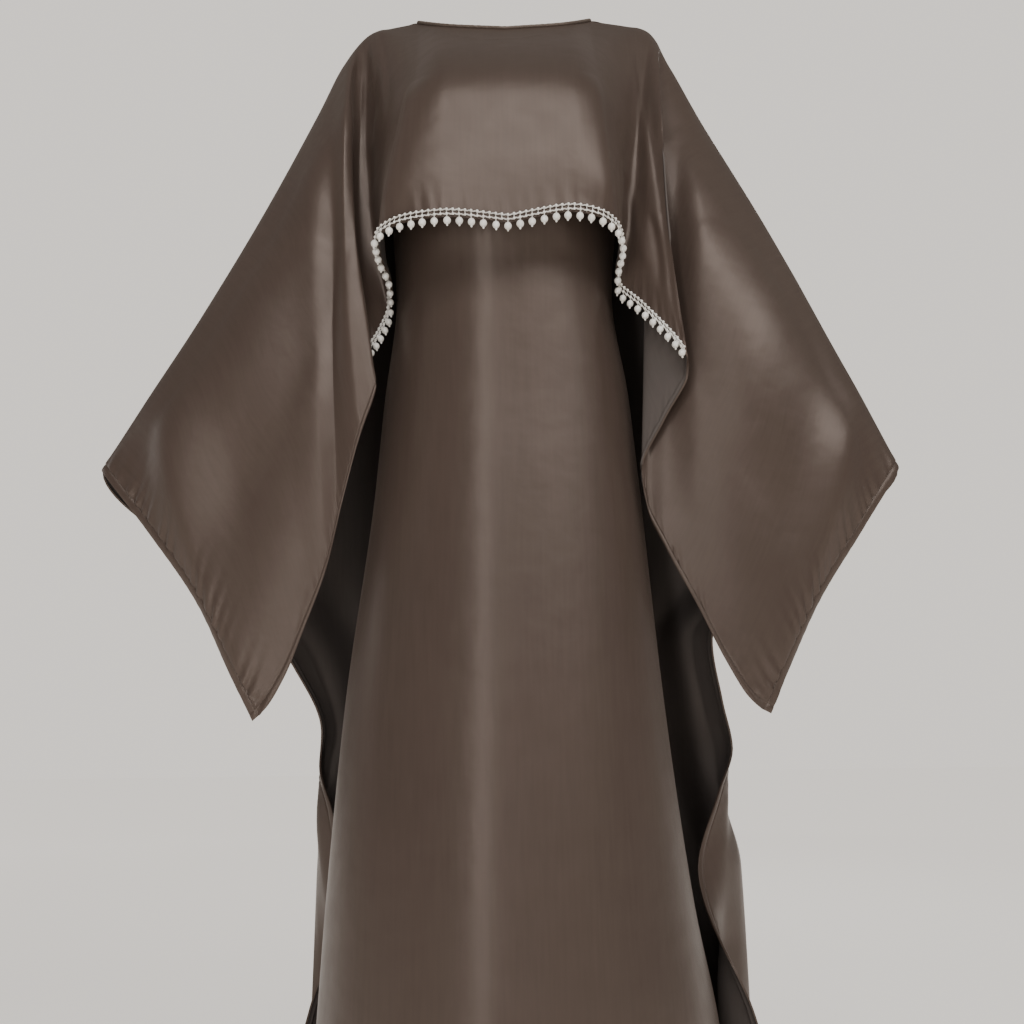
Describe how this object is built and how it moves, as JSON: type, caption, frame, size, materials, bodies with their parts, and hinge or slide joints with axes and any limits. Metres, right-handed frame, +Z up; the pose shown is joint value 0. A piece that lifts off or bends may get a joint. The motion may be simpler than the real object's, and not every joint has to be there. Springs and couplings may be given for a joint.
{
  "type": "abaya",
  "caption": "Floor-length satin abaya: a slim sleeveless dress under a wide butterfly cape whose front is edged with hanging pearls.",
  "frame": {"origin": "middle of the shoulder line at the neck, between the neck points of the shoulder seams, where the wearer carries the garment", "axes": "+Z up, -Y to the wearer's front, +X to the right as seen from the front"},
  "size_m": [0.898, 0.4502, 1.4457],
  "materials": {
    "satin": "soft satin",
    "binding": "soft satin",
    "pearl": "pearl"
  },
  "bodies": {
    "root": {"cape_front": "satin", "cape_back": "satin", "dress_front": "satin", "dress_back": "satin", "neck_binding": "binding", "pearl_trim": "pearl"}
  },
  "joints": []
}
